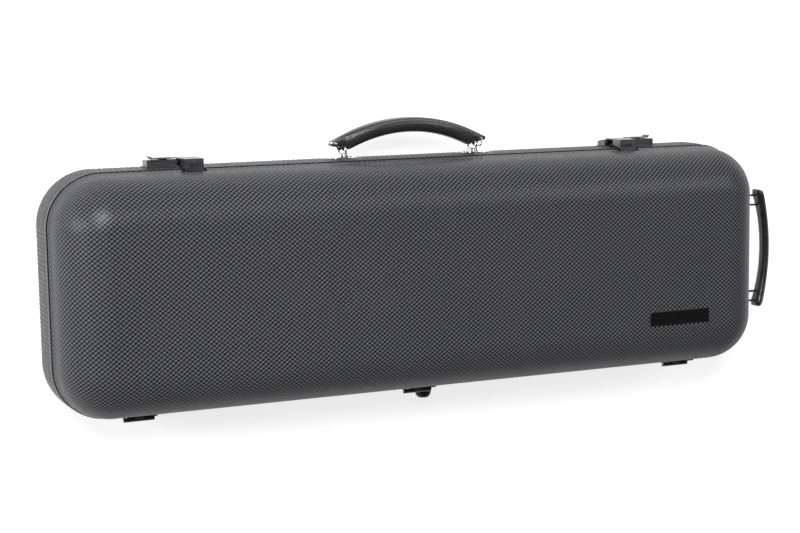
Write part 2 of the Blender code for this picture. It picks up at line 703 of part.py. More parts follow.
def make_feet():
    low = BODY_DEPTH + GAP
    end = BODY_DEPTH + FOOT_HEIGHT
    profile = [(low, FOOT_RADIUS), (end - 1.5 * MM, FOOT_RADIUS), (end, FOOT_RADIUS - 1.5 * MM)]
    for across, z_side in HEIGHTS.items():
        for along, x_side in SIDES.items():
            centre = (x_side * FOOT_PLACE[0], z_side * FOOT_PLACE[1])
            make_object(turned(profile, centre, "y"), f"foot_{across}_{along}", seal_rubber())


# --- Handles ----------------------------------------------------------------------------------

def arc_drop(radius, distance):
    return radius - math.sqrt(radius * radius - distance * distance)


def make_top_plate(name, side):
    x = side * RING_X
    middle = side * HANDLE_PLATE_X
    oval = rounded(HANDLE_PLATE_HALF, 13 * MM, 9 * MM, 4, (middle, HANDLE_Y))
    flat = prism(oval, "z", PLATE_Z, PLATE_Z + 1.0 * MM)
    plate = make_object(flat, f"handle_plate_{name}", chrome())
    saddle = [(-4.2, 0.5), (-4.2, 2.2), (-2.4, 5.0), (2.4, 5.0), (4.2, 2.2), (4.2, 0.5)]
    block = [(x + a * MM, PLATE_Z + up * MM) for a, up in saddle]
    add(plate, prism(block, "y", HANDLE_Y - 6.6 * MM, HANDLE_Y + 6.6 * MM))
    for end in (-1, 1):
        rivet = disc((middle + end * 11.5 * MM, HANDLE_Y), 2.2 * MM, 10)
        add(plate, prism(rivet, "z", PLATE_Z + 0.5 * MM, PLATE_Z + 1.8 * MM))
    bore = disc((x, RING_FOOT_Z), RING_WIRE + 0.35 * MM, 12)
    cut(plate, prism(bore, "y", HANDLE_Y - 8 * MM, HANDLE_Y + 8 * MM))


def make_handle_ring(name, side):
    x = side * RING_X
    half = (RING_TOP_Z - RING_FOOT_Z) / 2
    points = rounded(RING_HALF_WIDTH, half, 2.6 * MM, 3, (HANDLE_Y, RING_FOOT_Z + half))
    loop = wire_loop([(x, y, z) for y, z in points], RING_WIRE)
    make_object(loop, f"handle_ring_{name}", chrome(), (x, HANDLE_Y, RING_FOOT_Z))


def pad_width(share, full, tip):
    """Half the width of a handle at a share of the way from its middle to its tip."""
    return tip + (full - tip) * math.cos(min(share, 1.0) ** 1.6 * math.pi / 2)


def pad_section(half_width, low, high):
    """An oval section, flatter below, as (across, up) points."""
    middle = (low + high) / 2
    half = (high - low) / 2
    points = []
    count = 12
    for i in range(count):
        angle = 2 * math.pi * i / count
        c, s = math.cos(angle), math.sin(angle)
        across = math.copysign(abs(c) ** 0.7, c) * half_width
        up = math.copysign(abs(s) ** 0.75, s) * half
        points.append((across, middle + up))
    return points


def top_pad_rings():
    rings = []
    knee = 69 * MM
    steps = 11
    for i in range(-steps, steps + 1):
        x = HANDLE_TIP * i / steps
        high = HANDLE_TOP - arc_drop(HANDLE_TOP_RADIUS, x)
        reach = min(abs(x), knee)
        low = HANDLE_UNDER - arc_drop(HANDLE_UNDER_RADIUS, reach)
        if abs(x) > knee:
            low += (HANDLE_TIP_UNDER - low) * (abs(x) - knee) / (HANDLE_TIP - knee)
        width = pad_width(abs(x) / RING_X, HANDLE_HALF_WIDTH, HANDLE_END_HALF_WIDTH)
        rings.append([(x, HANDLE_Y + a, z) for a, z in pad_section(width, low, high)])
    return rings


def make_top_handle():
    pivot = (-RING_X, HANDLE_Y, RING_TOP_Z)
    pad = make_object(loft(top_pad_rings()), "handle_pad", leather(), pivot)
    through = (HANDLE_Y - 15 * MM, HANDLE_Y + 15 * MM)
    for name, side in SIDES.items():
        make_top_plate(name, side)
        make_handle_ring(name, side)
        x = side * RING_X
        cut(pad, prism(disc((x, RING_TOP_Z), BUSH_RADIUS + GAP, 12), "y", *through))
        make_bush(name, x)
        eye = disc((side * STRAP_RING_X, STRAP_RING_Z), STRAP_RING_WIRE + 0.35 * MM, 10)
        cut(pad, prism(eye, "y", *through))
        make_strap_ring(name, side)


def make_bush(name, x):
    """A flanged bush in the handle's end, which the ring's top bar turns in."""
    flange = 8.1 * MM
    barrel = prism(disc((x, RING_TOP_Z), BUSH_RADIUS, 12), "y", HANDLE_Y - flange, HANDLE_Y + flange)
    bush = make_object(barrel, f"handle_bush_{name}", seal_rubber())
    face = HANDLE_END_HALF_WIDTH + GAP + 0.1 * MM
    for end in (-1, 1):
        y = sorted((HANDLE_Y + end * face, HANDLE_Y + end * flange))
        add(bush, prism(disc((x, RING_TOP_Z), 3.8 * MM, 12), "y", *y))
    bore = disc((x, RING_TOP_Z), RING_WIRE + 0.35 * MM, 12)
    cut(bush, prism(bore, "y", HANDLE_Y - 9 * MM, HANDLE_Y + 9 * MM))


def make_strap_ring(name, side):
    """A small ring through the handle's tip: the left one points outwards, the right one hangs under."""
    x = side * STRAP_RING_X
    lean = math.radians(STRAP_RING_LEAN[name])
    along = (math.cos(lean), math.sin(lean))
    points = []
    for a, b in rounded(STRAP_RING_HALF_WIDTH, STRAP_RING_REACH / 2, 3 * MM, 3):
        reach = STRAP_RING_REACH / 2 + b
        points.append((x + along[0] * reach, HANDLE_Y + a, STRAP_RING_Z + along[1] * reach))
    pivot = (x, HANDLE_Y, STRAP_RING_Z)
    make_object(wire_loop(points, STRAP_RING_WIRE, 6), f"strap_ring_{name}", chrome(), pivot)


def end_pad_rings():
    rings = []
    steps = 10
    for i in range(-steps, steps + 1):
        reach = END_TIP * i / steps
        high = END_OUTER - arc_drop(END_OUTER_RADIUS, reach)
        low = END_INNER - arc_drop(END_INNER_RADIUS, reach)
        tip = max(0.0, abs(i) / steps - 0.9) * 20 * MM
        width = pad_width(abs(i) / steps, END_HALF_WIDTH, END_TIP_HALF_WIDTH)
        section = pad_section(width, low + tip, high - tip)
        rings.append([(x, END_Y + a, END_Z + reach) for a, x in section])
    return rings


def make_end_handle():
    pivot = (END_RING_TOP_X, END_Y, END_Z)
    pad = make_object(loft(end_pad_rings()), "end_handle_pad", leather(), pivot)
    for name, side in HEIGHTS.items():
        z = END_Z + side * END_RING_Z
        foot = (END_RING_FOOT_X, END_Y)
        plate_x = END_FLAT + GAP
        oval = rounded(9 * MM, 13 * MM, 6 * MM, 4, (END_Y, z))
        flat = prism(oval, "x", plate_x, plate_x + 1.0 * MM)
        plate = make_object(flat, f"end_plate_{name}", chrome())
        block = [(0.5, -3.8), (3.0, -3.8), (5.6, -2.0), (5.6, 2.0), (3.0, 3.8), (0.5, 3.8)]
        saddle = [(plate_x + out * MM, END_Y + a * MM) for out, a in block]
        add(plate, prism(saddle, "z", z - 3.6 * MM, z + 3.6 * MM))
        cut(plate, prism(disc(foot, RING_WIRE + 0.35 * MM, 12), "z", z - 5 * MM, z + 5 * MM))
        half = (END_RING_TOP_X - END_RING_FOOT_X) / 2
        middle_x = END_RING_FOOT_X + half
        points = rounded(half, END_RING_HALF_WIDTH, 2.6 * MM, 3, (middle_x, z))
        ring = wire_loop([(x, END_Y, up) for x, up in points], RING_WIRE)
        make_object(ring, f"end_ring_{name}", chrome(), (END_RING_FOOT_X, END_Y, END_Z))
        bar = disc((END_RING_TOP_X, END_Y), RING_WIRE + 0.35 * MM, 12)
        cut(pad, prism(bar, "z", z - 6 * MM, z + 6 * MM))
        slot_x = (415 * MM, END_RING_TOP_X + 1.6 * MM)
        slot_y = (END_Y - 4.4 * MM, END_Y + 4.4 * MM)
        for leg in (-1, 1):
            leg_z = z + leg * END_RING_HALF_WIDTH
            cut(pad, box(slot_x, slot_y, (leg_z - 1.9 * MM, leg_z + 1.9 * MM)))


def build():
    clear_scene()
    frame = bpy.data.objects.new("case_frame", None)
    frame.location = FRAME_PLACE
    frame.rotation_euler = (math.radians(-90), 0, 0)
    bpy.context.scene.collection.objects.link(frame)
    make_body_shell()
    make_lid_shell()
    make_frames_and_seal()
    make_body_lining()
    make_lid_lining()
    make_suspension_pads()
    make_neck_cradle()
    make_neck_strap()
    make_accessory_lid()
    make_bow_holders()
    make_nameplate()
    for name, side in SIDES.items():
        make_latch_base(name, side)
        make_latch_pin(name, side)
        make_hasp(name, side)
        make_slide(name, side)
        make_strike(name, side)
    for name, x in HINGE_X.items():
        make_hinge(name, x)
    make_bumper()
    make_feet()
    make_top_handle()
    make_end_handle()


build()
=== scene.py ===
"""Looks of the oblong hard-shell violin case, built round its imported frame.

Pieces are drawn in the case's own axes, about the centre of the seam: x along the case, y through it from
the lid (-y) to the back (+y), z across it from the hinges (-z) to the carrying handle (+z). CASE lays that
drawing down, as the frame lies, with -y up.
"""
import json
import math

import bmesh
import bpy
import numpy as np
from mathutils import Matrix, Vector


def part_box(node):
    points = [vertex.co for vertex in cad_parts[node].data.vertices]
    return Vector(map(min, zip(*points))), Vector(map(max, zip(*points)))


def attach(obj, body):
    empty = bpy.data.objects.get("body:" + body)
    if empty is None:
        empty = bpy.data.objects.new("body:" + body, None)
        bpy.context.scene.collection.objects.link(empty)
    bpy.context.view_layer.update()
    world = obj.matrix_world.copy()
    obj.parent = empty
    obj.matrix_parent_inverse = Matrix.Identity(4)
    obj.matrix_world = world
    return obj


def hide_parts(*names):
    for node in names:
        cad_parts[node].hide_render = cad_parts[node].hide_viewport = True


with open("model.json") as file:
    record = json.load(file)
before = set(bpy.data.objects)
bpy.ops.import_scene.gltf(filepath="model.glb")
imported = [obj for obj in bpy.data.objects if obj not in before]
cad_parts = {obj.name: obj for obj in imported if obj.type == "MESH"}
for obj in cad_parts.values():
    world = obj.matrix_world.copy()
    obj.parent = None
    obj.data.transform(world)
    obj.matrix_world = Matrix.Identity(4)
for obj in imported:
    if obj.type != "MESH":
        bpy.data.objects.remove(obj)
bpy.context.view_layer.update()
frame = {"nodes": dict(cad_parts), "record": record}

MM = 0.001


def box_centre(node):
    low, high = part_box(node)
    return (Vector(low) + Vector(high)) / 2


CASE = Matrix.Translation(box_centre("seam_gasket")) @ Matrix.Rotation(math.radians(-90), 4, "X")

# Seam outline, lid and body, as in the frame's own solids.
HALF_LENGTH = 400 * MM
HALF_HEIGHT = 122.5 * MM
CORNER = 54 * MM
SEAM_HALF_GAP = 0.8 * MM
LID_DEPTH = 60.7 * MM
LID_FILLET = 49.2 * MM
LID_DRAFT = math.radians(6.95)
BODY_CREST = 2.4 * MM
BODY_CREST_Y = 38 * MM
BODY_FILLET = 37 * MM
TOP_FLAT = 124.0 * MM
WALL = 3.7 * MM

# Embossing: rows of small bosses, each row set half a pitch from the next. The smooth core lies under it
# and comes out at the seam as a rolled rim.
PITCH_X = 5.61 * MM
PITCH_Z = 4.58 * MM
PIT_DEPTH = 0.85 * MM
CORE_DEPTH = 1.6 * MM
RIM_WIDTH = 4.2 * MM

# Fittings on the shells.
LATCH_X = 250.5 * MM
STRIKE_FLAT_HALF = 12.3 * MM
STRIKE_FLAT_Z = 119.6 * MM
END_FLAT_X = 401.5 * MM
HINGE_FLAT_Z = -123.2 * MM

SIDES = {"left": -1, "right": 1}
HEIGHTS = {"upper": 1, "lower": -1}


# --- Node materials ---------------------------------------------------------------------------

class Shader:
    """A Principled material under construction, with short calls for the nodes it needs."""

    def __init__(self, name, colour, roughness, metallic=0.0, specular=0.5):
        self.material = bpy.data.materials.new(name)
        self.material.use_nodes = True
        self.tree = self.material.node_tree
        self.shader = self.tree.nodes["Principled BSDF"]
        self.set("Base Color", (*colour, 1))
        self.set("Roughness", roughness)
        self.set("Metallic", metallic)
        self.set("Specular IOR Level", specular)

    def set(self, socket, value):
        self.shader.inputs[socket].default_value = value

    def node(self, kind, **inputs):
        made = self.tree.nodes.new(kind)
        for name, value in inputs.items():
            made.inputs[name.replace("_", " ")].default_value = value
        return made

    def link(self, source, target):
        self.tree.links.new(source, target)

    def place(self, scale=(1, 1, 1)):
        """Object coordinates, in metres, stretched by scale."""
        coordinates = self.node("ShaderNodeTexCoord")
        mapping = self.node("ShaderNodeMapping", Scale=scale)
        self.link(coordinates.outputs["Object"], mapping.inputs["Vector"])
        return mapping.outputs["Vector"]

    def noise(self, scale, detail=4.0, roughness=0.55, stretch=(1, 1, 1)):
        made = self.node("ShaderNodeTexNoise", Scale=scale, Detail=detail, Roughness=roughness)
        self.link(self.place(stretch), made.inputs["Vector"])
        return made.outputs["Fac"]

    def spread(self, value, low, high, start=0.3, end=0.7):
        """value, taken from start..end to low..high."""
        made = self.node("ShaderNodeMapRange")
        for name, number in (("From Min", start), ("From Max", end), ("To Min", low), ("To Max", high)):
            made.inputs[name].default_value = number
        self.link(value, made.inputs["Value"])
        return made.outputs["Result"]

    def shade(self, value, dark, light, start=0.3, end=0.7):
        """A colour between dark and light, by value."""
        ramp = self.node("ShaderNodeValToRGB")
        ramp.color_ramp.elements[0].position = start
        ramp.color_ramp.elements[0].color = (*dark, 1)
        ramp.color_ramp.elements[1].position = end
        ramp.color_ramp.elements[1].color = (*light, 1)
        self.link(value, ramp.inputs["Fac"])
        return ramp.outputs["Color"]

    def bump(self, value, distance, strength=1.0):
        made = self.node("ShaderNodeBump", Distance=distance, Strength=strength)
        self.link(value, made.inputs["Height"])
        previous = self.shader.inputs["Normal"].links
        if previous:
            self.link(previous[0].from_socket, made.inputs["Normal"])
        self.link(made.outputs["Normal"], self.shader.inputs["Normal"])


def embossed_plastic():
    """Charcoal moulding, with painted shade darkening its pits and a painted highlight lightening its raised
    ground.
    """
    made = Shader("embossed_plastic", (0.05, 0.051, 0.053), 0.36, specular=0.16)
    pits = made.node("ShaderNodeAttribute")
    pits.attribute_name = "raised"
    # Painted shade and highlight: the base colour runs from near black in the pits to light grey on the
    # bosses' tops, standing in for shade and glints.
    painted_pit_shade_and_boss_highlight = made.shade(pits.outputs["Fac"], (0.002, 0.002, 0.002), (0.16, 0.161, 0.17), 0.2, 0.95)
    wear = made.node("ShaderNodeMix", Factor=0.25)
    wear.data_type = "RGBA"
    wear.blend_type = "MULTIPLY"
    made.link(painted_pit_shade_and_boss_highlight, wear.inputs["A"])
    made.link(made.shade(made.noise(9, 3), (0.7, 0.7, 0.7), (1, 1, 1)), wear.inputs["B"])
    made.link(wear.outputs["Result"], made.shader.inputs["Base Color"])
    made.link(made.spread(made.noise(160, 5), 0.24, 0.36), made.shader.inputs["Roughness"])
    made.bump(made.noise(2600, 3), 0.00006, 0.5)
    return made.material


def smooth_plastic():
    made = Shader("smooth_plastic_rim", (0.012, 0.012, 0.013), 0.22, specular=0.7)
    made.link(made.spread(made.noise(120, 4), 0.17, 0.28), made.shader.inputs["Roughness"])
    made.bump(made.noise(900, 3), 0.00004, 0.4)
    return made.material


def black_leather():
    made = Shader("black_leather", (0.012, 0.012, 0.013), 0.3, specular=0.7)
    made.link(made.shade(made.noise(60, 3), (0.009, 0.009, 0.01), (0.018, 0.018, 0.019)),
              made.shader.inputs["Base Color"])
    grain = made.node("ShaderNodeTexVoronoi", Scale=1500.0)
    grain.feature = "SMOOTH_F1"
    made.link(made.place(), grain.inputs["Vector"])
    made.link(made.spread(made.noise(400, 4), 0.22, 0.4), made.shader.inputs["Roughness"])
    made.bump(grain.outputs["Distance"], 0.00012, 0.5)
    made.bump(made.noise(180, 4), 0.0003, 0.3)
    return made.material


def smooth_leather():
    """The thin leather over the cord of a seam, painted a little brighter than the rest as a painted
    highlight along the cord.
    """
    # Painted highlight: the base colour is lighter than the handle's leather, standing in for the light
    # caught along the cord.
    made = Shader("piping_leather", (0.07, 0.07, 0.072), 0.3, specular=0.8)
    made.link(made.spread(made.noise(300, 4), 0.22, 0.4), made.shader.inputs["Roughness"])
    made.bump(made.noise(700, 3), 0.00008, 0.4)
    return made.material


def thread():
    made = Shader("waxed_thread", (0.05, 0.05, 0.052), 0.5)
    made.bump(made.noise(3000, 2), 0.0001, 0.6)
    return made.material


def chrome():
    made = Shader("polished_chrome", (0.72, 0.72, 0.73), 0.1, 1)
    made.link(made.spread(made.noise(300, 3), 0.07, 0.16), made.shader.inputs["Roughness"])
    return made.material


def shaded_chrome():
    """Chrome painted dark for the end handle's rings, a painted dark reflection of their surroundings."""
    # Painted reflection: a darker copy of the chrome, standing in for the dark surroundings that the end
    # rings mirror.
    made = Shader("shaded_chrome", (0.07, 0.07, 0.072), 0.16, 1)
    made.link(made.spread(made.noise(300, 3), 0.12, 0.22), made.shader.inputs["Roughness"])
    return made.material


def gunmetal():
    """Satin-plated steel with a fine brushed grain along the case."""
    made = Shader("gunmetal_plate", (0.16, 0.16, 0.165), 0.3, 1)
    streaks = made.noise(900, 3, stretch=(0.05, 1, 1))
    made.link(made.spread(streaks, 0.26, 0.4), made.shader.inputs["Roughness"])
    made.link(made.shade(made.noise(40, 2), (0.13, 0.13, 0.135), (0.19, 0.19, 0.195)),
              made.shader.inputs["Base Color"])
    made.bump(streaks, 0.00003, 0.4)
    return made.material


def black_steel():
    made = Shader("black_enamelled_steel", (0.016, 0.016, 0.017), 0.35)
    made.link(made.spread(made.noise(250, 4), 0.28, 0.45), made.shader.inputs["Roughness"])
    made.bump(made.noise(1200, 3), 0.00004, 0.4)
    return made.material


def black_rubber(name, roughness):
    made = Shader(name, (0.006, 0.006, 0.006), roughness, specular=0.25)
    made.link(made.spread(made.noise(300, 4), roughness - 0.08, roughness + 0.08),
              made.shader.inputs["Roughness"])
    made.bump(made.noise(1500, 3), 0.00006, 0.4)
    return made.material


def satin_aluminium():
    made = Shader("satin_aluminium", (0.62, 0.62, 0.63), 0.35, 1)
    streaks = made.noise(700, 3, stretch=(0.03, 1, 1))
    made.link(made.spread(streaks, 0.28, 0.45), made.shader.inputs["Roughness"])
    return made.material


def name_plate():
    made = Shader("black_nameplate", (0.004, 0.004, 0.004), 0.3, specular=0.3)
    made.link(made.spread(made.noise(200, 3), 0.26, 0.36), made.shader.inputs["Roughness"])
    return made.material


def plush():
    """Short dark pile: a fine mottle, a soft bump and a sheen at grazing angles."""
    made = Shader("dark_plush", (0.02, 0.023, 0.035), 0.9, specular=0.2)
    made.set("Sheen Weight", 0.6)
    made.set("Sheen Roughness", 0.4)
    made.set("Sheen Tint", (0.35, 0.4, 0.55, 1))
    pile = made.noise(1400, 4)
    nap = made.noise(25, 3)
    made.link(made.shade(nap, (0.014, 0.016, 0.026), (0.03, 0.034, 0.05)), made.shader.inputs["Base Color"])
    made.bump(pile, 0.0006, 0.6)
    made.bump(nap, 0.002, 0.3)
    return made.material


def webbing():
    """Black webbing with ribs across it."""
    made = Shader("black_webbing", (0.015, 0.015, 0.016), 0.75)
    ribs = made.node("ShaderNodeTexWave", Scale=260.0, Distortion=0.6)
    made.link(made.place(), ribs.inputs["Vector"])
    made.bump(ribs.outputs["Fac"], 0.0004, 0.7)
    made.bump(made.noise(2500, 2), 0.0002, 0.5)
    return made.material


# --- Mesh helpers -----------------------------------------------------------------------------

def new_piece(name, points, faces, material, body, slot, smooth=True):
    """A mesh object from points in the case's axes, riding on a body of the frame."""
    mesh = bpy.data.meshes.new(name)
    points = np.asarray(points, np.float64)
    turn = np.array(CASE.to_3x3())
    placed = points @ turn.T + np.array(CASE.translation)
    mesh.from_pydata(placed.tolist(), [], [tuple(int(i) for i in face) for face in faces])
    obj = bpy.data.objects.new(name, mesh)
    bpy.context.scene.collection.objects.link(obj)
    tidy_mesh(mesh)
    if smooth:
        mesh.shade_smooth()
        mesh.set_sharp_from_angle(angle=math.radians(38))
    mesh.materials.append(material)
    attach(obj, body)
    return obj


def tidy_mesh(mesh):
    bm = bmesh.new()
    bm.from_mesh(mesh)
    bmesh.ops.recalc_face_normals(bm, faces=bm.faces)
    if bm.calc_volume(signed=True) < 0:
        bmesh.ops.reverse_faces(bm, faces=bm.faces)
    bm.to_mesh(mesh)
    bm.free()


def loft(rings, closed=False, caps=True):
    """(points, faces) through rings of points."""
    count = len(rings[0])
    points = [point for ring in rings for point in ring]
    faces = []
    spans = len(rings) if closed else len(rings) - 1
    for k in range(spans):
        a, b = k * count, (k + 1) % len(rings) * count
        for i in range(count):
            j = (i + 1) % count
            faces.append((a + i, a + j, b + j, b + i))
    if caps and not closed:
        faces.append(tuple(range(count)))
        faces.append(tuple(range(len(points) - count, len(points))))
    return points, faces


def join(parts):
    """Several (points, faces) as one."""
    points, faces = [], []
    for some, these in parts:
        start = len(points)
        points.extend(some)
        faces.extend(tuple(start + i for i in face) for face in these)
    return points, faces


def disc(centre, radius, steps):
    angles = [2 * math.pi * i / steps for i in range(steps)]
    return [(centre[0] + radius * math.cos(a), centre[1] + radius * math.sin(a)) for a in angles]


def rounded(half_a, half_b, radius, steps, centre=(0, 0)):
    """Points round a rounded rectangle."""
    points = []
    for sign_a, sign_b, start in ((1, 1, 0), (-1, 1, 90), (-1, -1, 180), (1, -1, 270)):
        for i in range(steps + 1):
            angle = math.radians(start + 90 * i / steps)
            a = sign_a * (half_a - radius) + radius * math.cos(angle)
            b = sign_b * (half_b - radius) + radius * math.sin(angle)
            points.append((centre[0] + a, centre[1] + b))
    return points


def tube(path, radius, sides=12, closed=False):
    """A round tube along points, with its ends capped unless it is closed."""
    points = [Vector(p) for p in path]
    count = len(points)
    side = None
    rings = []
    for i, point in enumerate(points):
        after = points[(i + 1) % count] if closed or i + 1 < count else point
        before = points[i - 1] if closed or i else point
        along = (after - before).normalized()
        if side is None:
            side = along.orthogonal().normalized()
        side = (side - along * side.dot(along)).normalized()
        other = along.cross(side)
        ring = []
        for k in range(sides):
            angle = 2 * math.pi * k / sides
            ring.append(point + radius * (math.cos(angle) * side + math.sin(angle) * other))
        rings.append(ring)
    return loft(rings, closed=closed)


def turned(profile, centre, axis, steps=40):
    """(points, faces) turned about a line along an axis, from (distance, radius) pairs."""
    place = {
        "x": lambda a, b, t: (t, a, b),
        "y": lambda a, b, t: (a, t, b),
        "z": lambda a, b, t: (a, b, t),
    }[axis]
    rings = [[place(a, b, along) for a, b in disc(centre, radius, steps)] for along, radius in profile]
    return loft(rings)


# --- Camera, light and ground -----------------------------------------------------------------

def make_camera():
    """The camera stands before the lid, a little above and to the left, with a long lens."""
    place = (-0.7373, -1.6659, 0.2532)
    yaw, pitch, roll = 0.4034, 0.1342, -0.0160
    forward = Vector((math.sin(yaw) * math.cos(pitch), math.cos(yaw) * math.cos(pitch), -math.sin(pitch)))
    right = forward.cross(Vector((0, 0, 1))).normalized()
    up = right.cross(forward)
    right_rolled = math.cos(roll) * right + math.sin(roll) * up
    up_rolled = math.cos(roll) * up - math.sin(roll) * right
    turn = Matrix((right_rolled, up_rolled, -forward)).transposed().to_4x4()
    data = bpy.data.cameras.new("camera")
    data.sensor_width = 36
    data.lens = 77.28
    data.clip_start = 0.05
    camera = bpy.data.objects.new("camera", data)
    camera.matrix_world = CASE @ Matrix.Translation(place) @ turn
    bpy.context.scene.collection.objects.link(camera)
    bpy.context.scene.camera = camera


def area_light(name, place, target, size, power):
    """A softbox at place that faces target, both in the case's axes."""
    data = bpy.data.lights.new(name, "AREA")
    data.shape = "RECTANGLE"
    data.size, data.size_y = size
    data.energy = power
    lamp = bpy.data.objects.new(name, data)
    start, end = CASE @ Vector(place), CASE @ Vector(target)
    turn = (end - start).to_track_quat("-Z", "Y").to_matrix().to_4x4()
    lamp.matrix_world = Matrix.Translation(start) @ turn
    bpy.context.scene.collection.objects.link(lamp)


def studio_world():
    """A dark ceiling over a grey horizon, so that metal facing up is darker than metal facing sideways."""
    world = bpy.data.worlds.new("studio")
    world.use_nodes = True
    tree = world.node_tree
    coordinates = tree.nodes.new("ShaderNodeTexCoord")
    split = tree.nodes.new("ShaderNodeSeparateXYZ")
    ramp = tree.nodes.new("ShaderNodeValToRGB")
    ramp.color_ramp.elements[0].position = 0.1
    ramp.color_ramp.elements[0].color = (0.4, 0.4, 0.4, 1)
    ramp.color_ramp.elements[1].position = 0.75
    ramp.color_ramp.elements[1].color = (0.05, 0.05, 0.05, 1)
    tree.links.new(coordinates.outputs["Generated"], split.inputs["Vector"])
    tree.links.new(split.outputs["Z"], ramp.inputs["Fac"])
    tree.links.new(ramp.outputs["Color"], tree.nodes["Background"].inputs["Color"])
    bpy.context.scene.world = world


def make_stage():
    scene = bpy.context.scene
    scene.view_settings.view_transform = "Standard"
    studio_world()
    mesh = bpy.data.meshes.new("floor")
    reach = 12.0
    corners = [(-reach, -reach, 0), (reach, -reach, 0), (reach, reach, 0), (-reach, reach, 0)]
    mesh.from_pydata(corners, [], [(0, 1, 2, 3)])
    floor = bpy.data.objects.new("floor", mesh)
    finish = Shader("pale_floor", (0.4, 0.4, 0.4), 0.9, specular=0.0)
    finish.set("Emission Color", (1, 1, 1, 1))
    finish.set("Emission Strength", 0.78)
    mesh.materials.append(finish.material)
    scene.collection.objects.link(floor)
    area_light("key", (-0.9, -2.4, 1.3), (0, 0, 0), (1.2, 0.8), 88)
    area_light("fill", (1.8, -2.4, 1.2), (0, 0, 0), (1.2, 1.2), 20)
    area_light("edge", (-2.2, -0.9, 0.5), (0, 0, 0), (0.4, 1.6), 30)


# --- Shells -----------------------------------------------------------------------------------

def lid_fillet():
    """(offset and y of the fillet's centre, y where it meets the drafted wall, length of its arc)."""
    centre_y = -(LID_DEPTH - LID_FILLET)
    tangent_y = centre_y - LID_FILLET * math.sin(LID_DRAFT)
    centre = tangent_y * math.tan(LID_DRAFT) - LID_FILLET * math.cos(LID_DRAFT)
    return centre, centre_y, tangent_y, LID_FILLET * (math.pi / 2 - LID_DRAFT)


def lid_curve(run):
    """(offset, y, angle of the normal) at a distance from the core rectangle, over the lid's outside."""
    centre, centre_y, _, arc = lid_fillet()
    flat = CORNER + centre
    angle = math.pi / 2 - np.clip((run - flat) / LID_FILLET, 0, math.pi / 2 - LID_DRAFT)
    beyond = np.clip(run - flat - arc, 0, None)
    offset = centre + LID_FILLET * np.cos(angle) + beyond * math.sin(LID_DRAFT)
    offset = np.where(run < flat, run - CORNER, offset)
    y = centre_y - LID_FILLET * np.sin(angle) + beyond * math.cos(LID_DRAFT)
    return offset, y, -angle


def lid_run():
    """The whole distance from the core rectangle to the lid's edge."""
    centre, _, tangent_y, arc = lid_fillet()
    return CORNER + centre + arc + (-SEAM_HALF_GAP - tangent_y) / math.cos(LID_DRAFT)


def body_curve(run):
    """(offset, y, angle of the normal) at a distance from the core rectangle, over the body's outside."""
    flat = CORNER + BODY_CREST - BODY_FILLET
    arc = BODY_FILLET * math.pi / 2
    angle = math.pi / 2 - np.clip((run - flat) / BODY_FILLET, 0, math.pi / 2)
    beyond = np.clip(run - flat - arc, 0, None)
    share = beyond / (BODY_CREST_Y - SEAM_HALF_GAP)
    offset = BODY_CREST - BODY_FILLET + BODY_FILLET * np.cos(angle) - BODY_CREST * share ** 3.4
    offset = np.where(run < flat, run - CORNER, offset)
    y = BODY_CREST_Y + BODY_FILLET * np.sin(angle) - beyond
    return offset, y, angle


def body_run():
    arc = BODY_FILLET * math.pi / 2
    return CORNER + BODY_CREST - BODY_FILLET + arc + BODY_CREST_Y - SEAM_HALF_GAP


def body_flats(points):
    """Flattens the places that the fittings stand on, and says which points those are."""
    x, y, z = points.T
    level = np.zeros(len(points), bool)
    for side in SIDES.values():
        latch = (side * x > 235 * MM) & (side * x < 295.2 * MM) & (y > 11 * MM) & (y < 42 * MM)
        handle = (side * x > 60.0 * MM) & (side * x < 96.6 * MM) & (y > 19 * MM) & (y < 49 * MM)
        zone = (latch | handle) & (z > TOP_FLAT - 0.4 * MM)
        level |= zone
        z[zone] = np.minimum(z[zone], TOP_FLAT)
        plate = (np.abs(z - END_Z - side * END_RING_Z) < 15 * MM) & (y > 6 * MM) & (y < 30 * MM)
        zone = plate & (x > 401 * MM)
        level |= zone
        x[zone] = np.minimum(x[zone], END_FLAT_X)
    for name in ("left", "centre", "right"):
        middle = box_centre(f"hinge_leaf_body_{name}").x - CASE.translation.x
        leaf = (np.abs(x - middle) < 16.7 * MM) & (y > 3.4 * MM) & (y < 22 * MM) & (z < -122.8 * MM)
        level |= leaf
        z[leaf] = np.maximum(z[leaf], HINGE_FLAT_Z)
    return level


def lid_flats(points):
    """Sinks the two strike flats in the lid's edge."""
    x, y, z = points.T
    level = np.zeros(len(points), bool)
    for side in SIDES.values():
        zone = (np.abs(side * x - LATCH_X) < STRIKE_FLAT_HALF) & (y > -9.5 * MM) & (z > STRIKE_FLAT_Z)
        level |= zone
        z[zone] = STRIKE_FLAT_Z
    return level


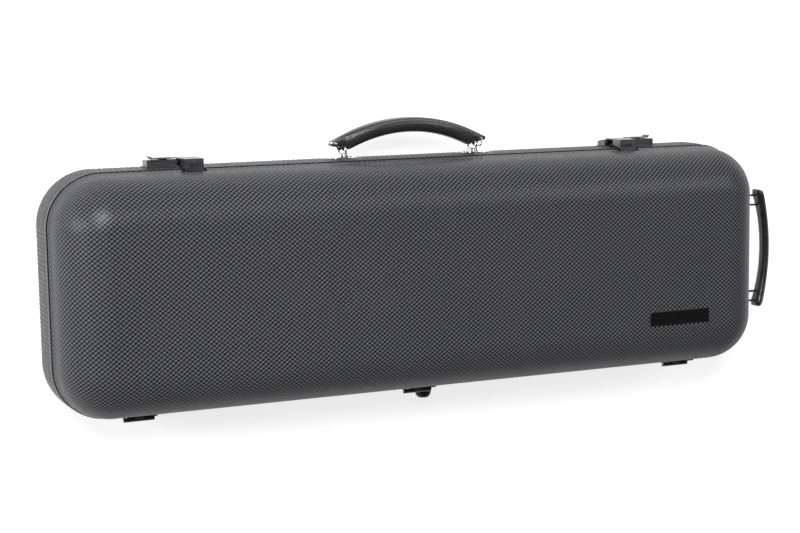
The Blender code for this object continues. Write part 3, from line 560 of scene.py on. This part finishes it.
def embossed_skin(name, curve, run_end, samples, flats, body):
    """The embossed outside of a shell: a grid laid over it in the bosses' own pitch, up to its smooth rim."""
    step_x, step_z = PITCH_X / samples, PITCH_Z / samples
    core_x, core_z = HALF_LENGTH - CORNER, HALF_HEIGHT - CORNER
    edge = run_end - RIM_WIDTH + 0.8 * MM
    count_x = math.ceil((core_x + edge) / step_x) + 1
    count_z = math.ceil((core_z + edge) / step_z) + 1
    u, v = np.meshgrid(np.arange(-count_x, count_x + 1) * step_x, np.arange(-count_z, count_z + 1) * step_z)
    shape = u.shape
    u, v = u.ravel(), v.ravel()
    near_x, near_z = np.clip(u, -core_x, core_x), np.clip(v, -core_z, core_z)
    away_x, away_z = u - near_x, v - near_z
    run = np.hypot(away_x, away_z)
    inside = run < edge
    safe = np.maximum(run, 1e-9)
    toward_x, toward_z = away_x / safe, away_z / safe
    run = np.minimum(run, edge)
    offset, y, angle = curve(run)
    across = np.where(run > 0, CORNER + offset, 0)
    points = np.column_stack((near_x + toward_x * across, y, near_z + toward_z * across))
    normal = np.column_stack((toward_x * np.cos(angle), np.sin(angle), toward_z * np.cos(angle)))
    wave = np.cos(2 * math.pi * u / PITCH_X) * np.cos(2 * math.pi * v / PITCH_Z)
    raised = (0.5 + 0.5 * wave) ** 1.3
    level = flats(points.copy())
    raised[level] = 0.5
    depth = PIT_DEPTH * (1 - raised) * np.clip((edge - 1.6 * MM - run) / (2 * MM), 0, 1)
    depth[level] = 0
    points -= normal * depth[:, None]
    flats(points)
    index = np.arange(len(points)).reshape(shape)
    quads = np.stack((index[:-1, :-1], index[:-1, 1:], index[1:, 1:], index[1:, :-1]), -1).reshape(-1, 4)
    quads = quads[inside[quads].any(1)]
    used, compact = np.unique(quads, return_inverse=True)
    skin = fast_piece(name, points[used], compact.reshape(-1, 4), FINISHES["shell"], body)
    # The height is kept as the 'raised' attribute. The shell's material paints shade into the pits and a
    # highlight onto the bosses from it.
    heights = skin.data.attributes.new("raised", "FLOAT", "POINT")
    heights.data.foreach_set("value", raised[used].astype(np.float32))
    return skin


def fast_piece(name, points, quads, material, body):
    """A large all-quad mesh, made straight from arrays."""
    turn = np.array(CASE.to_3x3())
    placed = points @ turn.T + np.array(CASE.translation)
    mesh = bpy.data.meshes.new(name)
    mesh.vertices.add(len(placed))
    mesh.vertices.foreach_set("co", placed.astype(np.float32).ravel())
    mesh.loops.add(quads.size)
    mesh.loops.foreach_set("vertex_index", quads.astype(np.int32).ravel())
    mesh.polygons.add(len(quads))
    mesh.polygons.foreach_set("loop_start", np.arange(0, quads.size, 4, dtype=np.int32))
    mesh.update(calc_edges=True)
    mesh.validate()
    mesh.shade_smooth()
    mesh.materials.append(material)
    obj = bpy.data.objects.new(name, mesh)
    bpy.context.scene.collection.objects.link(obj)
    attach(obj, body)
    return obj


def shell_ring(offset, y, steps=20):
    return [(x, y, z) for x, z in rounded(HALF_LENGTH + offset, HALF_HEIGHT + offset, CORNER + offset, steps)]


def cut_boxes(obj, boxes):
    """Takes boxes, given as (low, high) corners in the case's axes, out of obj."""
    for low, high in boxes:
        points = [(x, y, z) for x in (low[0], high[0]) for y in (low[1], high[1]) for z in (low[2], high[2])]
        mesh = bpy.data.meshes.new("cutter")
        faces = [(0, 1, 3, 2), (4, 6, 7, 5), (0, 4, 5, 1), (2, 3, 7, 6), (0, 2, 6, 4), (1, 5, 7, 3)]
        mesh.from_pydata([CASE @ Vector(p) for p in points], [], faces)
        tidy_mesh(mesh)
        cutter = bpy.data.objects.new("cutter", mesh)
        bpy.context.scene.collection.objects.link(cutter)
        step = obj.modifiers.new("cut", "BOOLEAN")
        step.operation = "DIFFERENCE"
        step.object = cutter
        apply_modifiers(obj)
        bpy.data.objects.remove(cutter)


def apply_modifiers(obj):
    """Bakes obj's modifiers into its own mesh."""
    graph = bpy.context.evaluated_depsgraph_get()
    mesh = bpy.data.meshes.new_from_object(obj.evaluated_get(graph))
    obj.modifiers.clear()
    obj.data = mesh


def make_lid_shell():
    end = lid_run()
    skin = embossed_skin("lid_embossed_skin", lid_curve, end, 4, lid_flats, "lid")
    profile = []
    for run in np.linspace(0, end - RIM_WIDTH - 0.2 * MM, 16):
        offset, y, angle = lid_curve(run)
        profile.append((offset - CORE_DEPTH * math.cos(angle), y - CORE_DEPTH * math.sin(angle)))
    rim = [(4.1, -0.1), (3.6, 0.25), (2.6, 0.5), (1.6, 0.5), (0.7, 0.2), (0.1, -0.35), (0.0, -0.9)]
    for back, out in rim:
        offset, y, angle = lid_curve(end - back * MM)
        profile.append((offset + out * MM, y))
    profile.append((-WALL, -SEAM_HALF_GAP))
    for run in np.linspace(end - 3 * MM, 0, 16):
        offset, y, angle = lid_curve(run)
        profile.append((offset - WALL * math.cos(angle), y - WALL * math.sin(angle)))
    points, faces = loft([shell_ring(offset, y) for offset, y in profile])
    core = new_piece("lid_core", points, faces, FINISHES["rim"], "lid", "shell")
    boxes = [((side * LATCH_X - STRIKE_FLAT_HALF, -9.5 * MM, STRIKE_FLAT_Z - 0.1 * MM),
              (side * LATCH_X + STRIKE_FLAT_HALF, 1 * MM, 130 * MM)) for side in SIDES.values()]
    cut_boxes(core, boxes)
    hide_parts("lid_shell")
    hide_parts("lid_shell")


def make_body_shell():
    end = body_run()
    skin = embossed_skin("body_embossed_skin", body_curve, end, 3, body_flats, "case_body")
    profile = []
    for run in np.linspace(0, end - RIM_WIDTH - 0.2 * MM, 18):
        offset, y, angle = body_curve(run)
        profile.append((offset - CORE_DEPTH * math.cos(angle), y - CORE_DEPTH * math.sin(angle)))
    rim = [(4.1, -0.1), (3.4, 0.1), (2.4, 0.25), (1.4, 0.2), (0.6, -0.05), (0.1, -0.5), (0.0, -1.0)]
    for back, out in rim:
        offset, y, angle = body_curve(end - back * MM)
        profile.append((offset + out * MM, y))
    inset = 3.9 * MM
    profile.append((-inset, SEAM_HALF_GAP))
    depth = BODY_FILLET - WALL
    reach = BODY_FILLET - BODY_CREST - inset
    for i in range(13):
        angle = math.pi / 2 * i / 12
        offset = BODY_CREST - BODY_FILLET + reach * math.cos(angle)
        profile.append((offset, BODY_CREST_Y + depth * math.sin(angle)))
    points, faces = loft([shell_ring(offset, y) for offset, y in profile])
    core = new_piece("body_core", points, faces, FINISHES["rim"], "case_body", "shell")
    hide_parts("body_shell")
    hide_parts("body_shell")


def make_seal():
    """The black bead in the seam. It stands a little proud, except along the hinges."""
    profile = [(-5.0, -0.7), (0.2, -0.74), (0.9, -0.6), (1.25, 0.0), (0.9, 0.6), (0.2, 0.74), (-5.0, 0.7)]
    rings = []
    for out, y in profile:
        ring = shell_ring(out * MM, y * MM)
        lowest = -HALF_HEIGHT - 0.3 * MM
        rings.append([(x, along, max(z, lowest)) for x, along, z in ring])
    bead = new_piece("seam_seal", *loft(rings, closed=True), FINISHES["seal"], "case_body", "seal")
    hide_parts("seam_gasket")


# --- Handles ----------------------------------------------------------------------------------

HANDLE_Y = 34.4 * MM
HANDLE_TOP = (165.3 * MM, 182 * MM)
HANDLE_UNDER = (149.4 * MM, 154 * MM)
HANDLE_KNEE = 69 * MM
HANDLE_TIP = (91 * MM, 137.5 * MM)
HANDLE_HALF_WIDTHS = (13 * MM, 6.4 * MM)
END_Y = 18 * MM
END_Z = -2.5 * MM
END_OUTER = (453.2 * MM, 236 * MM)
END_INNER = (445.7 * MM, 207 * MM)
END_TIP = 69 * MM
END_HALF_WIDTHS = (6.5 * MM, 9 * MM)
END_RING_Z = 56.8 * MM
RING_X = 76.3 * MM
HANDLE_PLATE_X = 78.3 * MM
STRAP_RING_X = 84.5 * MM
STRAP_RING_Z = 140 * MM
STRAP_RING_LEAN = {"left": math.radians(172), "right": math.radians(256)}
RING_WIRE = 1.3 * MM


def arc(crown, distance):
    """The height of an arc, given as (top, radius), at a distance from its middle."""
    top, radius = crown
    return top - radius + math.sqrt(radius * radius - distance * distance)


def pad_width(share, widths):
    full, tip = widths
    return tip + (full - tip) * math.cos(min(share, 1.0) ** 1.6 * math.pi / 2)


def top_pad(reach):
    """(half width, underside, top) of the carrying handle at a distance from its middle."""
    away = abs(reach)
    low = arc(HANDLE_UNDER, min(away, HANDLE_KNEE))
    if away > HANDLE_KNEE:
        low += (HANDLE_TIP[1] - low) * (away - HANDLE_KNEE) / (HANDLE_TIP[0] - HANDLE_KNEE)
    high = arc(HANDLE_TOP, reach)
    pinch = max(0.0, away - HANDLE_TIP[0] + 2.5 * MM) ** 2 / (3.2 * MM)
    width = pad_width(away / RING_X, HANDLE_HALF_WIDTHS)
    return width - pinch, low + pinch, high - pinch


def end_pad(reach):
    away = abs(reach)
    tip = max(0.0, away - 0.9 * END_TIP) ** 2 / (14 * MM)
    low, high = arc(END_INNER, reach) + tip, arc(END_OUTER, reach) - tip
    return pad_width(away / END_TIP, END_HALF_WIDTHS) - 0.4 * tip, low, high


def pad_point(shape, reach, angle, proud=0.0):
    """(across, up) on a pad's surface at an angle round it, counted from one side."""
    width, low, high = shape(reach)
    half = (high - low) / 2
    c, s = math.cos(angle), math.sin(angle)
    across = math.copysign(abs(c) ** 0.62, c) * (width + proud)
    up = math.copysign(abs(s) ** 0.75, s) * (half + proud)
    return across, (low + high) / 2 + up


def stations(tip, count):
    """Distances from one tip to the other, closer together at the tips."""
    return [tip * math.sin(math.pi / 2 * i / count) for i in range(-count, count + 1)]


def stitches(path, pitch, length, radius):
    """Short threads along a path of points, one every pitch."""
    path = [Vector(p) for p in path]
    parts = []
    due = pitch
    travelled = 0.0
    for a, b in zip(path, path[1:]):
        step = (b - a).length
        while due <= travelled + step:
            middle = a.lerp(b, (due - travelled) / step)
            along = (b - a).normalized() * length / 2
            ends = [middle - along, middle - along * 0.55, middle + along * 0.55, middle + along]
            parts.append(tube(ends, radius, 6))
            due += pitch
        travelled += step
    return join(parts)


def make_pad(name, body, node, shape, tip, place, seam_angle):
    """A leather handle: the padded body, a corded seam along both sides and a row of stitches beside it."""
    runs = stations(tip, 44)
    rings = []
    for reach in runs:
        ring = [pad_point(shape, reach, 2 * math.pi * k / 40) for k in range(40)]
        rings.append([place(reach, across, up) for across, up in ring])
    pad = new_piece(f"{name}_leather", *loft(rings), FINISHES["leather"], body, "leather")
    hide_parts(node)
    cords, rows = [], []
    for turn in (seam_angle, math.pi - seam_angle):
        inner = [r for r in runs if abs(r) < tip * 0.985]
        edge = [place(r, *pad_point(shape, r, turn)) for r in inner]
        cords.append(tube(edge, 1.0 * MM, 10))
        lift = 0.42 if turn < math.pi / 2 else -0.42
        row = [place(r, *pad_point(shape, r, turn + lift, 0.05 * MM)) for r in inner if abs(r) < tip * 0.94]
        rows.append(stitches(row, 3.3 * MM, 2.3 * MM, 0.36 * MM))
    cord = new_piece(f"{name}_piping", *join(cords), FINISHES["piping"], body, "leather")
    thread_rows = new_piece(f"{name}_stitching", *join(rows), FINISHES["thread"], body, "leather")
    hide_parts(node)
    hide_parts(node)


def wire_ring(name, node, body, points, radius, finish="chrome"):
    ring = new_piece(name, *tube(points, radius, 16, closed=True), FINISHES[finish], body, "chrome")
    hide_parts(node)


def oval_plate(half_a, half_b, radius, centre, thickness):
    """(outline, height) rings of a plate with a rolled edge and a slightly domed top."""
    steps = ((0.5, 0.0), (0.0, 0.35), (0.15, 0.75), (0.9, 1.0), (2.6, 1.15))
    return [(rounded(half_a - inset * MM, half_b - inset * MM, radius - inset * MM, 8, centre),
             height * thickness) for inset, height in steps]


def make_top_handle():
    make_pad("carrying_handle", "handle", "handle_pad", top_pad, HANDLE_TIP[0],
             lambda reach, across, up: (reach, HANDLE_Y + across, up), 0.5)
    for name, side in SIDES.items():
        x, middle, base = side * RING_X, side * HANDLE_PLATE_X, TOP_FLAT + 0.3 * MM
        loop = rounded(10.1 * MM, 4.5 * MM, 2.6 * MM, 8, (HANDLE_Y, 131.5 * MM))
        wire_ring(f"handle_ring_{name}_wire", f"handle_ring_{name}", f"handle_ring_{name}",
                  [(x, y, z) for y, z in loop], RING_WIRE)
        lean = STRAP_RING_LEAN[name]
        eye = (side * STRAP_RING_X, STRAP_RING_Z)
        loop = rounded(9.4 * MM, 4.35 * MM, 3 * MM, 8, (0, 4.35 * MM))
        points = [(eye[0] + math.cos(lean) * b, HANDLE_Y + a, eye[1] + math.sin(lean) * b) for a, b in loop]
        wire_ring(f"strap_ring_{name}_wire", f"strap_ring_{name}", f"strap_ring_{name}", points, 1.0 * MM)
        rings = oval_plate(16.3 * MM, 13 * MM, 9 * MM, (middle, HANDLE_Y), 1.0 * MM)
        parts = [loft([[(a, b, base + up) for a, b in ring] for ring, up in rings])]
        profile = [(-4.2, 0.6), (-4.0, 1.9), (-3.3, 3.4), (-2.3, 4.6), (-0.9, 5.0)]
        profile += [(-a, up) for a, up in profile[::-1]]
        parts.append(loft([[(x + a * MM, HANDLE_Y + b * MM, base + up * MM * share) for a, up in profile]
                           for b, share in ((-6.6, 0.93), (-6.2, 1), (6.2, 1), (6.6, 0.93))]))
        dome = [(0.6, 2.2), (1.2, 2.15), (1.6, 1.7), (1.8, 0.9), (1.85, 0.1)]
        for end in (-1, 1):
            parts.append(turned([(base + up * MM, r * MM) for up, r in dome],
                                (middle + end * 11.5 * MM, HANDLE_Y), "z", 20))
        plate = new_piece(f"handle_plate_{name}_chrome", *join(parts), FINISHES["chrome"], "case_body",
                          "chrome")
        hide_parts(f"handle_plate_{name}")
        disc_profile = [(6.8, 0.6), (6.8, 3.3), (7.2, 3.8), (7.8, 3.7), (8.1, 3.0), (7.9, 1.9), (8.0, 1.75)]
        eyes = []
        for end in (-1, 1):
            profile = [(HANDLE_Y + end * along * MM, r * MM) for along, r in disc_profile]
            eyes.append(turned(profile, (x, 136 * MM), "y", 28))
        bush = new_piece(f"handle_bush_{name}_eyes", *join(eyes), FINISHES["bushes"], "handle", "bushes")
        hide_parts(f"handle_bush_{name}")


def make_end_handle():
    make_pad("end_handle", "end_handle", "end_handle_pad", end_pad, END_TIP,
             lambda reach, across, up: (up, END_Y + across, END_Z + reach), 0.3)
    foot_x, top_x, base = 405.2 * MM, 441 * MM, END_FLAT_X + 0.3 * MM
    studs = []
    for name, side in HEIGHTS.items():
        z = END_Z + side * END_RING_Z
        loop = rounded((top_x - foot_x) / 2, 5.6 * MM, 2.6 * MM, 8, ((top_x + foot_x) / 2, z))
        # The end rings take the chrome painted dark, a painted dark reflection.
        wire_ring(f"end_ring_{name}_wire", f"end_ring_{name}", "end_rings",
                  [(x, END_Y, up) for x, up in loop], RING_WIRE, "shaded_chrome")
        rings = oval_plate(9 * MM, 13 * MM, 6 * MM, (END_Y, z), 1.0 * MM)
        parts = [loft([[(base + up, a, b) for a, b in ring] for ring, up in rings])]
        profile = [(-3.8, 0.6), (-3.6, 2.6), (-2.9, 4.4), (-1.6, 5.4), (0, 5.6)]
        profile += [(-a, up) for a, up in profile[-2::-1]]
        parts.append(loft([[(base + up * MM, END_Y + a * MM, z + b * MM) for a, up in profile]
                           for b in (-3.6, 3.6)]))
        plate = new_piece(f"end_plate_{name}_chrome", *join(parts), FINISHES["chrome"], "case_body",
                          "chrome")
        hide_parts(f"end_plate_{name}")
        for out in (0, 5.5):
            reach = side * (51 - out) * MM
            face = arc(END_INNER, reach)
            dome = [(0.4, 1.25), (-0.2, 1.2), (-0.5, 0.8), (-0.6, 0.2)]
            studs.append(turned([(face + up * MM, r * MM) for up, r in dome],
                                (END_Y - 5.5 * MM, END_Z + reach), "x", 16))
    stud = new_piece("end_handle_studs", *join(studs), FINISHES["dark_steel"], "end_handle", "leather")
    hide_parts("end_handle_pad")


# --- Small fittings ---------------------------------------------------------------------------

def bevel(node, width, segments=3, angle=28):
    """Breaks a CAD node's sharp edges, without touching its mesh."""
    obj = frame["nodes"][node]
    step = obj.modifiers.new("edge", "BEVEL")
    step.width = width
    step.segments = segments
    step.limit_method = "ANGLE"
    step.angle_limit = math.radians(angle)
    step.harden_normals = True


def make_hasp_details(name, side):
    """The dark leaf behind the hasp's window, and the bar across the window's upper part."""
    x = side * LATCH_X
    leaf = rounded(5.2 * MM, 3.1 * MM, 0.8 * MM, 4, (x, 127.4 * MM))
    sheet = loft([[(a, y * MM, b) for a, b in leaf] for y in (-3.78, -3.45)])
    new_piece(f"hasp_leaf_{name}", *sheet, FINISHES["dark_steel"], f"latch_hasp_{name}",
              "latch_metal", smooth=False)
    bar = rounded(4.0 * MM, 0.85 * MM, 0.3 * MM, 4, (x, 129.0 * MM))
    rings = [[(a, y * MM, b) for a, b in bar] for y in (-3.7, -4.7)]
    new_piece(f"hasp_bar_{name}", *loft(rings), FINISHES["latch_metal"], f"latch_hasp_{name}", "latch_metal")


def make_nameplate():
    """A blank black plate with a raised rim round a sunk, satin face."""
    centre = (284 * MM, -61.8 * MM)
    steps = ((0.4, -60.8), (0.0, -61.0), (0.0, -61.4), (0.35, -61.68), (1.1, -61.68), (1.35, -61.45))
    rings = []
    for inset, y in steps:
        ring = rounded((37.7 - inset) * MM, (7.7 - inset) * MM, max(1.6 - inset, 0.3) * MM, 8, centre)
        rings.append([(a, y * MM, b) for a, b in ring])
    plate = new_piece("nameplate_blank", *loft(rings), FINISHES["nameplate"], "lid", "nameplate")
    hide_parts("nameplate")


def make_bumper():
    """The moulded rubber stop beside the middle hinge: a dished foot with a lip and a shallow groove."""
    profile = [(-125.2, 8.6), (-125.8, 9.0), (-128.6, 9.0), (-129.1, 8.7), (-129.6, 8.7), (-130.2, 8.95),
               (-133.4, 8.5), (-135.8, 7.6), (-137.4, 6.2), (-138.1, 4.9), (-138.35, 3.4), (-137.6, 2.2),
               (-137.3, 0.3)]
    shape = turned([(z * MM, r * MM) for z, r in profile], (4 * MM, 13 * MM), "z", 48)
    stop = new_piece("rubber_stop", *shape, FINISHES["feet"], "case_body", "feet")
    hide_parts("hinge_side_bumper")


def make_feet():
    profile = [(75.3, 8.2), (75.6, 8.9), (76.4, 9.0), (78.6, 8.6), (80.2, 7.9), (80.8, 6.9), (81.0, 5.6),
               (80.6, 4.6), (80.4, 0.3)]
    for name in ("upper_left", "upper_right", "lower_left", "lower_right"):
        middle = CASE.inverted() @ box_centre(f"foot_{name}")
        shape = turned([(y * MM, r * MM) for y, r in profile], (middle.x, middle.z), "y", 40)
        foot = new_piece(f"foot_{name}_rubber", *shape, FINISHES["feet"], "case_body", "feet")
        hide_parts(f"foot_{name}")


# --- Interior ---------------------------------------------------------------------------------

SOFT_NODES = {
    "body_lining": ("case_body", 3.2, 5),
    "lid_lining": ("lid", 1.6, 4),
    "neck_cradle": ("case_body", 1.3, 6),
    "accessory_lid": ("accessory_lid", 1.3, 4),
    "bow_block_upper": ("lid", 0.9, 6),
    "bow_block_lower": ("lid", 0.9, 6),
    "bow_spinner_upper": ("bow_spinner_upper", 0.7, 6),
    "bow_spinner_lower": ("bow_spinner_lower", 0.7, 6),
    "bow_tip_pocket_upper": ("lid", 0.8, 4),
    "bow_tip_pocket_lower": ("lid", 0.8, 4),
}
SWOLLEN_NODES = {"suspension_pad_lower": "case_body", "suspension_pad_upper": "case_body"}


def soft_copy(node, body, voxel, rounds):
    """A rounded, plush-covered piece in the place of a plain solid."""
    source = frame["nodes"][node]
    mesh = source.data.copy()
    obj = bpy.data.objects.new(f"{node}_plush", mesh)
    bpy.context.scene.collection.objects.link(obj)
    weld(mesh)
    remesh = obj.modifiers.new("remesh", "REMESH")
    remesh.mode = "VOXEL"
    remesh.voxel_size = voxel * MM
    soften = obj.modifiers.new("soften", "SMOOTH")
    soften.factor = 0.5
    soften.iterations = rounds
    apply_modifiers(obj)
    obj.data.shade_smooth()
    obj.data.materials.clear()
    obj.data.materials.append(FINISHES["lining"])
    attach(obj, body)
    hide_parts(node)
    return obj


def weld(mesh):
    bm = bmesh.new()
    bm.from_mesh(mesh)
    bmesh.ops.remove_doubles(bm, verts=bm.verts, dist=1e-6)
    bm.to_mesh(mesh)
    bm.free()


def swell(obj, pressure, reach):
    """Blows a pad up like stuffed cloth, keeping it near the solid it stands for."""
    rest = np.array([v.co for v in obj.data.vertices])
    cloth = obj.modifiers.new("cloth", "CLOTH")
    cloth.settings.use_pressure = True
    cloth.settings.uniform_pressure_force = pressure
    cloth.settings.effector_weights.gravity = 0
    cloth.settings.quality = 4
    scene = bpy.context.scene
    for step in range(1, 21):
        scene.frame_set(step)
    apply_modifiers(obj)
    scene.frame_set(1)
    blown = np.array([v.co for v in obj.data.vertices])
    move = blown - rest
    size = np.linalg.norm(move, axis=1)
    move *= np.minimum(1, reach / np.maximum(size, 1e-9))[:, None]
    obj.data.vertices.foreach_set("co", (rest + move).astype(np.float32).ravel())
    obj.data.update()


def make_interior():
    for node, (body, voxel, rounds) in SOFT_NODES.items():
        piece = soft_copy(node, body, voxel, rounds)
    for node, body in SWOLLEN_NODES.items():
        piece = soft_copy(node, body, 2.5, 10)
        swell(piece, 3, 2.2 * MM)
        subdivide = piece.modifiers.new("smooth", "SUBSURF")
        subdivide.levels = 1
        subdivide.render_levels = 1


# --- Build ------------------------------------------------------------------------------------

FINISHES = {
    "shell": embossed_plastic(),
    "rim": smooth_plastic(),
    "piping": smooth_leather(),
    "thread": thread(),
    "lining": plush(),
    "webbing": webbing(),
    "valance": satin_aluminium(),
    "seal": black_rubber("black_seal", 0.85),
    "feet": black_rubber("black_foot_rubber", 0.45),
    "bushes": black_rubber("black_bush", 0.35),
    "leather": black_leather(),
    "chrome": chrome(),
    "shaded_chrome": shaded_chrome(),
    "latch_metal": gunmetal(),
    "dark_steel": black_steel(),
    "nameplate": name_plate(),
}
SHARP_NODES = {
    "latch_base": 0.35,
    "latch_hasp": 0.3,
    "latch_slide": 0.3,
    "strike_plate": 0.2,
    "hinge_leaf": 0.3,
    "hinge_pin": 0.25,
    "neck_strap": 0.5,
    "accessory_lid_tab": 0.3,
}


def finish_nodes():
    """Gives every node of the frame its slot's material, and breaks the edges of the hard ones."""
    for part in frame["record"]["subparts"]:
        name = part["node"]
        node = frame["nodes"][name]
        node.data.materials.clear()
        node.data.materials.append(FINISHES[part["material_slot"]])
        for start, width in SHARP_NODES.items():
            if name.startswith(start):
                bevel(name, width * MM)


finish_nodes()
make_camera()
make_stage()
make_lid_shell()
make_body_shell()
make_seal()
make_top_handle()
make_end_handle()
for name, side in SIDES.items():
    make_hasp_details(name, side)
make_nameplate()
make_bumper()
make_feet()
make_interior()
